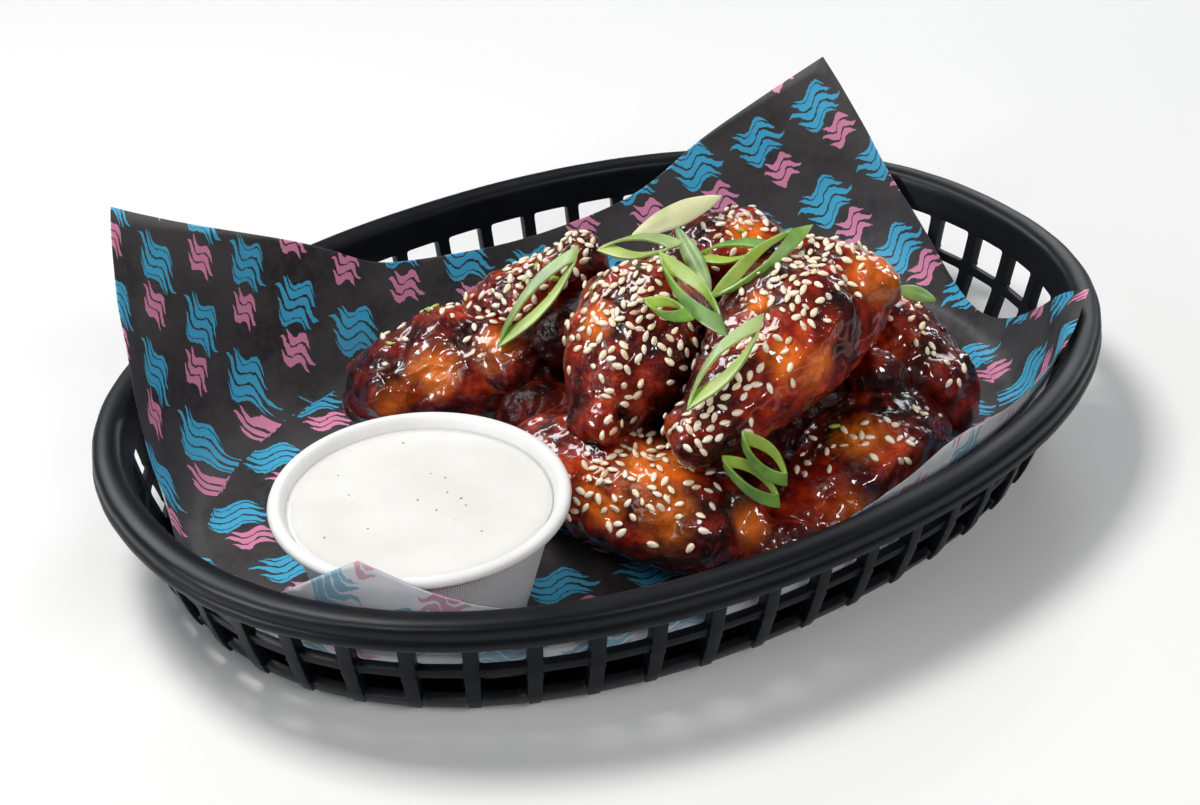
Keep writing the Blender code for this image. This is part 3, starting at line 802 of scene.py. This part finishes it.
# Wing ends under the upper wings, filling the gaps, darkened with painted shade: (x, y, z, radius) in millimetres
UNDERNEATH = (
    (-12, -14, 22, 13), (2, -20, 20, 14), (14, -34, 17, 13), (8, -50, 12, 10), (24, -46, 15, 10), (34, -36, 20, 13),
    (48, -26, 22, 12), (-24, 0, 18, 12), (-32, -14, 14, 9), (20, -4, 22, 14), (-16, 12, 24, 10), (40, -52, 12, 9),
    (-12, 8, 37, 8),
)


def nearness(point, spots):
    """How far inside the nearest of some spots a point is, from 0 to 1."""
    best = 0.0
    for x, y, z, radius in spots:
        gap = (point - Vector((x, y, z)) * MM).length / (radius * MM)
        best = max(best, 1.0 - gap)
    return min(1.0, 1.6 * max(0.0, best))


def crease_depth(point):
    """How deep a point of the skin is drawn in by the creases."""
    deepest = 0.0
    for start, end, half, depth in CREASES:
        start, end = Vector(start) * MM, Vector(end) * MM
        run = end - start
        share = min(1.0, max(0.0, (point - start).dot(run) / run.length_squared))
        off = (point - start - share * run).length / (half * MM)
        if off < 2.0:
            deepest = max(deepest, depth * math.exp(-1.4 * off * off))
    return deepest


def skin_relief(point):
    """Height of the skin over a smooth wing: lumps, folds, wrinkles and goose bumps, in millimetres."""
    lumps = noise.noise(point * 85.0) * 1.7
    bent = point + Vector(noise.noise_vector(point * 120.0)) * 2.5 * MM
    folds = 0.45 - abs(noise.noise(bent * 150.0 + UP * 7.0)) * 1.5
    wrinkles = 0.4 - abs(noise.noise(bent * 330.0 - UP * 5.0))
    bumps = noise.noise(point * 560.0) * 0.22
    return lumps + 0.75 * folds + 0.6 * wrinkles + bumps - crease_depth(point)


def add_knobs(bm, knobs):
    """Set knuckles and bone ends into a wing."""
    for x, y, z, radius in knobs:
        place = Matrix.Translation(Vector((x, y, z)) * MM)
        bmesh.ops.create_icosphere(bm, subdivisions=3, radius=radius * MM, matrix=place)


def shape_skin(bm, smoothing):
    """Melt a wing's parts into one body, and give it its skin."""
    bm = shaped(bm, ("REMESH", {"mode": "VOXEL", "voxel_size": WING_VOXEL, "adaptivity": 0.0}))
    relax(bm, smoothing)
    bm.normal_update()
    moves = [vert.normal * skin_relief(vert.co) * MM for vert in bm.verts]
    amber = bm.verts.layers.float.new("amber")
    # Char, and painted shade in creases and hollows
    char_and_shade = bm.verts.layers.float.new("char_and_shade")
    for vert, move in zip(bm.verts, moves):
        vert.co += move
        vert[amber] = nearness(vert.co, AMBER_SPOTS)
        vert[char_and_shade] = nearness(vert.co, CHAR_AND_SHADE_SPOTS)
    relax(bm, 1, 0.3)
    return bm


def build_wing(name, material):
    bm = welded_copy(name)
    add_knobs(bm, WING_KNOBS.get(name, ()))
    return new_piece("glazed_" + name, shape_skin(bm, WING_SMOOTHING), material, (name,))


def build_underneath(material):
    """Ends of wings that show in the gaps between the upper ones, darkened with painted shade."""
    bm = bmesh.new()
    add_knobs(bm, UNDERNEATH)
    return new_piece("wing_ends_with_painted_shade", shape_skin(bm, UNDERNEATH_SMOOTHING), material)


# Sesame

# Scattered things come down onto a surface: where from, which way, and how far at most
SCATTER_START = Vector((-0.2, -0.35, 0.9)).normalized() * 12.0 * MM
SCATTER_WAY = Vector((0.2, 0.35, -0.9)).normalized()
SCATTER_FALL = 30.0 * MM
SCATTER_TRIES = 12
SCATTER_TILT = 0.22
SEED_LENGTH = 2.75 * MM
SEED_SPACING = 1.95 * MM
SEED_SIZES = (0.86, 1.1)
SEED_LIFT = 0.35 * MM
# Where the seeds lie: (x, y, z, radius, count), in millimetres
SEED_PATCHES = (
    (-10, -14, 60, 9, 34), (-10, -24, 58, 8, 30), (-5, -33, 50, 7, 14), (-19, -28, 48, 8, 14), (-19, -17, 55, 7, 14),
    (3, -16, 58, 8, 16), (33, -36, 65, 8, 26), (18, -42, 63, 8, 20), (16, -50, 61, 6, 10), (4, -52, 57, 8, 20),
    (-6, -56, 50, 7, 20), (-13, -56, 47, 6, 12), (26, -44, 65, 8, 14), (40, -42, 62, 7, 6), (-18, -56, 44, 4, 5),
    (-20, -40, 33, 9, 34), (-28, -41, 30, 7, 18), (-17, -52, 31, 8, 16), (-35, -39, 27, 7, 10), (-30, -50, 27, 9, 10),
    (-25, -60, 25, 9, 7), (-38, -44, 20, 9, 7), (18, -58, 27, 6, 12), (27, -62, 29, 6, 7), (35, -65, 29, 7, 7),
    (45, -60, 28, 8, 4), (-29, 39, 37, 9, 9), (-25, 28, 37, 8, 6), (-39, 40, 34, 8, 5), (-20, 26, 41, 6, 12),
    (-8, 24, 49, 8, 34), (-14, 23, 45, 7, 18), (0, 19, 53, 6, 16), (44, 8, 52, 8, 14), (36, 4, 51, 7, 12),
    (48, 3, 51, 6, 8), (63, -39, 38, 7, 6), (64, -49, 31, 8, 6), (64, -57, 21, 7, 3), (58, -30, 40, 6, 4),
)


def seed_shape():
    """One sesame seed along X: a flat drop, blunt at one end."""
    bm = bmesh.new()
    bmesh.ops.create_uvsphere(bm, u_segments=8, v_segments=6, radius=0.5)
    bmesh.ops.rotate(bm, verts=bm.verts, matrix=Matrix.Rotation(math.radians(90.0), 3, "Y"))
    for vert in bm.verts:
        narrow = 1.0 - 0.55 * max(0.0, vert.co.x + 0.1)
        vert.co = Vector((vert.co.x, vert.co.y * 0.60 * narrow, vert.co.z * 0.36 * narrow)) * SEED_LENGTH
    return made_mesh("seed", bm)


def lay_on(surface, spot, radius, chance):
    """A random point of a surface within a patch, and the way out of the surface there."""
    aside = Vector([chance.gauss(0.0, 0.5 * radius) for _ in range(3)])
    start = Vector(spot) * MM + aside * MM + SCATTER_START
    hit, normal, _, _ = surface.ray_cast(start, SCATTER_WAY, SCATTER_FALL)
    return hit, normal


def scatter(shape, surface, patches, chance, spacing, size_spread, lift):
    """Copies of a shape all over a surface, none nearer to another than the spacing."""
    bm = bmesh.new()
    tone = bm.verts.layers.float.new("tone")
    laid = []
    for x, y, z, radius, count in patches:
        for _ in range(count):
            for _ in range(SCATTER_TRIES):
                hit, normal = lay_on(surface, (x, y, z), radius, chance)
                if hit is not None and all((hit - other).length > spacing for other in laid):
                    break
            else:
                continue
            laid.append(hit)
            known = len(bm.verts)
            bm.from_mesh(shape)
            bm.verts.ensure_lookup_table()
            copies = bm.verts[known:]
            tilt = Vector([chance.gauss(0.0, SCATTER_TILT) for _ in range(3)])
            turn = (normal + tilt).to_track_quat("Z", "Y").to_matrix().to_4x4()
            spin = Matrix.Rotation(chance.uniform(0.0, math.tau), 4, "Z")
            size = Matrix.Scale(chance.uniform(*size_spread), 4)
            place = Matrix.Translation(hit + normal * lift)
            bmesh.ops.transform(bm, matrix=place @ turn @ spin @ size, verts=copies)
            shade = chance.random()
            for vert in copies:
                vert[tone] = shade
    return bm


def joined_surface(pieces):
    """One search tree over the meshes of several pieces."""
    points, faces = [], []
    for piece in pieces:
        first = len(points)
        points += [vert.co.copy() for vert in piece.data.vertices]
        faces += [[first + corner for corner in face.vertices] for face in piece.data.polygons]
    return BVHTree.FromPolygons(points, faces)


def build_seeds(surface, material):
    bm = scatter(seed_shape(), surface, SEED_PATCHES, random.Random(7), SEED_SPACING, SEED_SIZES, SEED_LIFT)
    return new_piece("sesame_seeds", bm, material)


# Crumbs of spring onion, laid like the seeds

CRUMB_SIZE = (2.2 * MM, 1.2 * MM, 0.8 * MM)
CRUMB_PATCHES = (
    (-30, 40, 37, 3, 2), (-45, 38, 33, 3, 1), (-6, 17, 50, 4, 2), (-17, -8, 50, 5, 1), (24, -56, 30, 4, 1),
    (44, 2, 51, 4, 1), (-12, 24, 46, 4, 2),
)


def build_crumbs(surface, material):
    block = bmesh.new()
    bmesh.ops.create_cube(block, size=1.0)
    bmesh.ops.scale(block, vec=CRUMB_SIZE, verts=block.verts)
    shape = made_mesh("crumb", shaped(block, subdivision(2)))
    bm = scatter(shape, surface, CRUMB_PATCHES, random.Random(5), 2.5 * MM, (1.0, 1.7), 0.5 * MM)
    inside = bm.verts.layers.float.new("inside")
    for vert in bm.verts:
        vert[inside] = 1.0
    return new_piece("onion_crumbs", bm, material)


# Spring onion

ONION_WALL = 0.7 * MM
ONION_EDGE = 0.18 * MM
ONION_TURN = math.radians(50.0)
ONION_STEPS = 14
ONION_LAYERS = 4
ONION_FACING = Vector((-0.35, -0.5, 0.8))
# Rings cut on the bias: (width, bow, how far the cut reaches along, across and through the ring, paleness)
ONION_RINGS = {
    "onion_left": (5.8, 0.6, (4.0, 2.7, 1.8), 0.25),
    "onion_far": (5.2, 0.2, (3.4, 2.2, 1.4), 0.3),
    "onion_loop": (5.4, 0.4, (-5.5, 2.0, 1.7), 0.05),
    "onion_fork": (3.6, 0.0, (-3.0, 1.5, 1.2), 0.0),
    "onion_long": (4.6, 1.0, (5.5, -1.9, 1.5), 0.15),
    "onion_flat": (4.8, 0.0, (3.0, 2.0, 1.3), 0.0),
    "onion_low": (5.4, 1.0, (4.6, 2.1, 1.7), 0.3),
    "onion_front_upper": (5.0, 0.4, (-2.4, 1.8, 1.3), 0.1),
    "onion_front_lower": (5.0, 0.4, (-2.4, 1.8, 1.3), 0.1),
}
# Strips of leaf: (width, bow, depth of the fold along the middle, paleness)
ONION_LEAVES = {
    "onion_pale": (6.6, 1.6, 0.9, 1.0),
    "onion_upright": (4.6, 1.2, 1.4, 0.2),
    "onion_right": (4.0, 1.0, 0.8, 0.3),
}


def slice_frame(node):
    """The two tips of a slice's solid, and the ways along it, across it and out of its face."""
    points = [vert.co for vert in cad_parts[node].data.vertices]
    middle = sum(points, Vector()) / len(points)
    start = max(points, key=lambda point: (point - middle).length)
    end = max(points, key=lambda point: (point - start).length)
    if start.z < end.z:
        start, end = end, start
    along = (end - start).normalized()
    across = ONION_FACING.cross(along).normalized()
    return start.copy(), end.copy(), along, across, along.cross(across)


def finish_slice(bm, node, pale, material):
    """Give a slice its wall, and mark its inner side and how pale it is."""
    bmesh.ops.recalc_face_normals(bm, faces=bm.faces)
    wall = {"thickness": ONION_WALL, "offset": 0.0, "shell_vertex_group": "inside"}
    rounding = {"width": ONION_EDGE, "segments": 2, "limit_method": "ANGLE", "angle_limit": ONION_TURN}
    bm = shaped(bm, ("SOLIDIFY", wall), ("BEVEL", rounding), groups=("skin", "inside"))
    weights = bm.verts.layers.deform.active
    inside = bm.verts.layers.float.new("inside")
    paleness = bm.verts.layers.float.new("pale")
    for vert in bm.verts:
        vert[inside] = vert[weights].get(1, 0.0)
        vert[paleness] = max(0.0, min(1.0, pale * (1.0 + 0.9 * noise.noise(vert.co * 150.0))))
        vert.co += Vector(noise.noise_vector(vert.co * 120.0)) * 0.35 * MM
    bmesh.ops.recalc_face_normals(bm, faces=bm.faces)
    return new_piece("cut_" + node, bm, material, (node,))


def build_onion_ring(node, width, bow, cut, pale, material):
    """A ring of onion cut on the bias: a pointed loop, drawn out along the stalk it was cut from."""
    start, end, along, across, facing = slice_frame(node)
    stalk = (cut[0] * along + cut[1] * across + cut[2] * facing) * MM
    shorter = 0.5 * abs(cut[0]) * MM * along
    start += shorter
    end -= shorter
    bm = bmesh.new()
    loop = []
    for side in (1.0, -1.0):
        for step in range(ONION_STEPS):
            share = step / ONION_STEPS if side > 0.0 else 1.0 - step / ONION_STEPS
            swell = math.sin(math.pi * share) ** 0.85
            point = start.lerp(end, share) + (0.5 * width * side * across + bow * facing) * swell * MM
            loop.append(bm.verts.new(point - 0.5 * stalk))
    for one, other in zip(loop, loop[1:] + loop[:1]):
        bm.edges.new((one, other))
    edges = bm.edges[:]
    for _ in range(ONION_LAYERS):
        grown = bmesh.ops.extrude_edge_only(bm, edges=edges)["geom"]
        edges = [part for part in grown if isinstance(part, bmesh.types.BMEdge)]
        fresh = [part for part in grown if isinstance(part, bmesh.types.BMVert)]
        bmesh.ops.translate(bm, vec=stalk / ONION_LAYERS, verts=fresh)
    return finish_slice(bm, node, pale, material)


def build_onion_leaf(node, width, bow, fold, pale, material):
    """A strip of leaf, pointed at both ends and folded along its middle."""
    start, end, _, across, facing = slice_frame(node)
    bm = bmesh.new()
    bmesh.ops.create_grid(bm, x_segments=18, y_segments=6, size=1.0)
    for vert in bm.verts:
        share, lean = 0.5 * (vert.co.x + 1.0), vert.co.y
        swell = math.sin(math.pi * share) ** 0.8
        rise = bow * swell - fold * abs(lean) ** 1.5 * swell
        vert.co = start.lerp(end, share) + (0.5 * width * lean * swell * across + rise * facing) * MM
    bmesh.ops.remove_doubles(bm, verts=bm.verts, dist=0.05 * MM)
    return finish_slice(bm, node, pale, material)


def build_onions(material):
    for node, settings in ONION_RINGS.items():
        build_onion_ring(node, *settings, material)
    for node, settings in ONION_LEAVES.items():
        build_onion_leaf(node, *settings, material)


# Specks in the dip

SPECK_COUNT = 22
SPECK_RADIUS = 0.28 * MM
SPECK_REACH = 26.0


def build_specks(surface, material):
    low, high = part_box("ranch_dip")
    centre = 0.5 * (low + high)
    flake = bmesh.new()
    bmesh.ops.create_icosphere(flake, subdivisions=1, radius=SPECK_RADIUS)
    bmesh.ops.scale(flake, vec=(1.3, 0.8, 0.5), verts=flake.verts)
    spot = (centre.x / MM, centre.y / MM, high.z / MM, SPECK_REACH, SPECK_COUNT)
    shape = made_mesh("speck", flake)
    bm = scatter(shape, surface, (spot,), random.Random(3), 3.0 * MM, (0.5, 1.2), 0.0)
    return new_piece("herb_specks", bm, material)


# Studio


def build_floor(material):
    bm = bmesh.new()
    bmesh.ops.create_grid(bm, x_segments=4, y_segments=4, size=6.0)
    floor = add_object("table", made_mesh("table", bm))
    floor.data.materials.append(material)


WORLD_LIGHT = (0.95, 0.97, 1.0)
WORLD_STRENGTH = 0.07
SOFTBOX_AIM = Vector((0.0, 0.0, 0.03))
# Squares of light, in metres and watts: (place, size, power, colour, lights surfaces, shows in reflections)
SOFTBOXES = {
    "key": ((-0.22, 0.32, 0.92), (0.34, 0.30), 7.4, (1.0, 0.99, 0.97), True, True),
    "front fill": ((0.05, -1.08, 0.80), (0.9, 0.4), 7.6, (1.0, 0.99, 0.98), True, False),
    "side": ((-0.95, -0.05, 0.55), (0.4, 0.5), 2.2, (0.96, 0.98, 1.0), True, True),
    "back right": ((0.80, 0.55, 0.5), (0.35, 0.5), 2.8, (0.94, 0.97, 1.0), True, True),
    "back sheen": ((-0.28, 0.95, 0.80), (0.75, 0.28), 10.0, (0.90, 0.95, 1.0), False, True),
    "left sheen": ((-0.95, 0.15, 0.40), (0.26, 0.30), 8.0, (0.90, 0.95, 1.0), False, True),
    "right sheen": ((0.95, 0.10, 0.45), (0.12, 0.26), 1.6, (0.90, 0.95, 1.0), False, True),
    "front glint": ((0.12, -0.75, 0.72), (0.18, 0.11), 2.6, (1.0, 0.94, 0.97), False, True),
    "left glint": ((-0.65, -0.35, 0.80), (0.16, 0.15), 2.8, (1.0, 0.95, 0.98), False, True),
    "right glint": ((0.60, -0.35, 0.80), (0.06, 0.08), 0.3, (1.0, 0.95, 0.98), False, True),
}


def light_studio():
    world = bpy.data.worlds.new("studio")
    world.use_nodes = True
    background = world.node_tree.nodes["Background"].inputs
    background["Color"].default_value = (*WORLD_LIGHT, 1.0)
    background["Strength"].default_value = WORLD_STRENGTH
    bpy.context.scene.world = world
    bpy.context.scene.view_settings.view_transform = "Standard"
    for name, (place, size, power, colour, lights, mirrored) in SOFTBOXES.items():
        light = bpy.data.lights.new(name, "AREA")
        light.shape = "RECTANGLE"
        light.size, light.size_y = size
        light.energy = power
        light.color = colour
        lamp = add_object(name, light)
        lamp.location = place
        lamp.rotation_euler = (SOFTBOX_AIM - Vector(place)).to_track_quat("-Z", "Y").to_euler()
        lamp.visible_diffuse = lights
        lamp.visible_glossy = mirrored


def place_camera():
    turn = Vector((math.cos(CAMERA_TURN), math.sin(CAMERA_TURN), 0.0))
    back = Vector((math.sin(CAMERA_TURN) * math.cos(CAMERA_RISE), -math.cos(CAMERA_TURN) * math.cos(CAMERA_RISE),
                   math.sin(CAMERA_RISE)))
    lift = back.cross(turn)
    right = math.cos(CAMERA_ROLL) * turn + math.sin(CAMERA_ROLL) * lift
    up = back.cross(right)
    data = bpy.data.cameras.new("camera")
    data.lens = CAMERA_LENS
    data.sensor_width = CAMERA_SENSOR
    data.clip_start = CAMERA_NEAR
    camera = add_object("camera", data)
    place = CAMERA_DISTANCE * back + CAMERA_ASIDE * right + CAMERA_ABOVE * up
    camera.matrix_world = Matrix.Translation(place) @ Matrix((right, up, back)).transposed().to_4x4()
    bpy.context.scene.camera = camera


def main():
    place_camera()
    light_studio()
    build_floor(floor_material())
    build_basket(plastic_material())
    ink_side = paper_material("printed side of the paper", ((0.030, 0.027, 0.028), (0.076, 0.070, 0.070)),
                              (0.07, 0.50, 0.80), (0.85, 0.30, 0.50))
    plain_side = paper_material("plain side of the paper", ((0.56, 0.57, 0.62), (0.74, 0.75, 0.80)),
                                (0.24, 0.44, 0.56), (0.56, 0.34, 0.42))
    build_paper(ink_side, plain_side)
    build_cup(fibre_material())
    dip = build_dip(dip_material())
    build_specks(joined_surface([dip]), speck_material())
    glaze = glaze_material("sticky glaze", 1.0, 0.0)
    wings = [build_wing(name, glaze) for name in WING_NAMES]
    # The wing ends underneath: a glaze with no coat, darkened with painted shade
    build_underneath(glaze_material("glaze darkened with painted shade", 0.0, 0.74))
    skin = joined_surface(wings)
    build_seeds(skin, seed_material())
    onion = onion_material()
    build_crumbs(skin, onion)
    build_onions(onion)


main()
